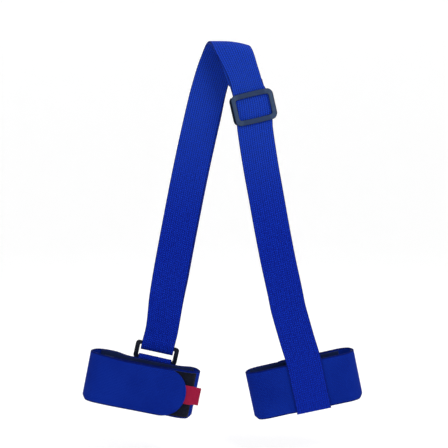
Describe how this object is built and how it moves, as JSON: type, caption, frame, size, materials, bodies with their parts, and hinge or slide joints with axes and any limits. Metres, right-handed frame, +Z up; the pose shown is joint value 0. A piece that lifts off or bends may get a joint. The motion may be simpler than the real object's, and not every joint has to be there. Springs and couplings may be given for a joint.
{
  "type": "shoulder carry strap",
  "caption": "Adjustable webbing shoulder strap with a sliding buckle, a ring, and hook-and-loop cuffs that wrap round a pair of skis, poles or a board.",
  "frame": {"origin": "underside of the crown, in the middle of the webbing, where the strap rests on a shoulder or peg", "axes": "+Z up, +X towards the cuff that is sewn to the strap, -Y towards the side where that leg and the slider hang"},
  "size_m": [0.3097, 0.0377, 0.412],
  "materials": {
    "webbing": "woven blue strap with fine lengthwise ribs",
    "cuff_fabric": "close-woven dark blue tape",
    "slider_plastic": "dark slate moulded plastic, satin gloss",
    "ring_plastic": "near-black moulded plastic",
    "lining": "soft dark lining",
    "hook_and_loop": "black hook-and-loop tape",
    "tab_ribbon": "crimson woven ribbon",
    "thread": "blue sewing thread"
  },
  "bodies": {
    "crown": {"crown_outer": "webbing", "crown_inner": "webbing"},
    "right_leg": {"right_outer_run": "webbing", "right_inner_run": "webbing"},
    "slider": {"slider": "slider_plastic", "slider_end_loop": "webbing", "slider_end_seam": "thread"},
    "right_cuff": {"right_sewn_run": "webbing", "right_strap_seam": "thread", "right_cuff_band": "cuff_fabric", "right_loop_patch": "hook_and_loop", "right_strap_liner": "lining", "right_lap_liner": "lining"},
    "right_flap": {"right_flap": "cuff_fabric", "right_hook_patch": "hook_and_loop", "right_pull_tab": "tab_ribbon", "right_pull_tab_seam": "thread"},
    "left_leg": {"left_outer_upper": "webbing", "left_inner_upper": "webbing", "left_outer_lower": "webbing", "left_inner_lower": "webbing"},
    "ring_end": {"ring_loop": "webbing"},
    "ring": {"ring": "ring_plastic"},
    "left_cuff": {"ring_tab": "webbing", "ring_tab_seam": "thread", "left_cuff_band": "cuff_fabric", "left_loop_patch": "hook_and_loop", "left_strap_liner": "lining", "left_lap_liner": "lining"},
    "left_flap": {"left_flap": "cuff_fabric", "left_hook_patch": "hook_and_loop", "left_pull_tab": "tab_ribbon", "left_pull_tab_seam": "thread"}
  },
  "joints": [
    {"name": "right_leg_swing", "type": "hinge", "parent": "crown", "child": "right_leg", "pos_m": [0.0083, -0.0143, -0.01313], "axis": [-1, 0, 0], "range_deg": [-2, 60]},
    {"name": "left_leg_swing", "type": "hinge", "parent": "crown", "child": "left_leg", "pos_m": [-0.0083, 0.0143, -0.01313], "axis": [1, 0, 0], "range_deg": [-2, 60]},
    {"name": "slider_slide", "type": "slide", "parent": "right_leg", "child": "slider", "axis": [0.1625, 0, -0.9867], "range_m": [0, 0.15], "deforming": ["right_inner_run"]},
    {"name": "right_cuff_flex", "type": "hinge", "parent": "right_leg", "child": "right_cuff", "pos_m": [0.08099, -0.0143, -0.33953], "axis": [-0.9694, 0, -0.2454], "range_deg": [-9, 60]},
    {"name": "right_flap_peel", "type": "hinge", "parent": "right_cuff", "child": "right_flap", "pos_m": [0.12596, 0.0163, -0.36079], "axis": [0.2079, 0, -0.9781], "range_deg": [0, 150]},
    {"name": "ring_end_slide", "type": "slide", "parent": "left_leg", "child": "ring_end", "axis": [0.1616, 0, 0.9869], "range_m": [0, 0.075], "deforming": ["left_outer_lower", "left_inner_lower"]},
    {"name": "ring_swing", "type": "hinge", "parent": "ring_end", "child": "ring", "pos_m": [-0.07787, 0.01265, -0.32985], "axis": [0.9753, 0, -0.2207], "range_deg": [-60, 60]},
    {"name": "left_cuff_swing", "type": "hinge", "parent": "ring", "child": "left_cuff", "pos_m": [-0.08149, 0.01265, -0.34585], "axis": [0.9753, 0, -0.2207], "range_deg": [-45, 45]},
    {"name": "left_flap_peel", "type": "hinge", "parent": "left_cuff", "child": "left_flap", "pos_m": [-0.13723, -0.02035, -0.35974], "axis": [-0.1994, 0, -0.9799], "range_deg": [0, 150]}
  ],
  "couplings": [
    {"joint": "ring_end_slide", "follows": "slider_slide", "ratio": 0.5}
  ]
}
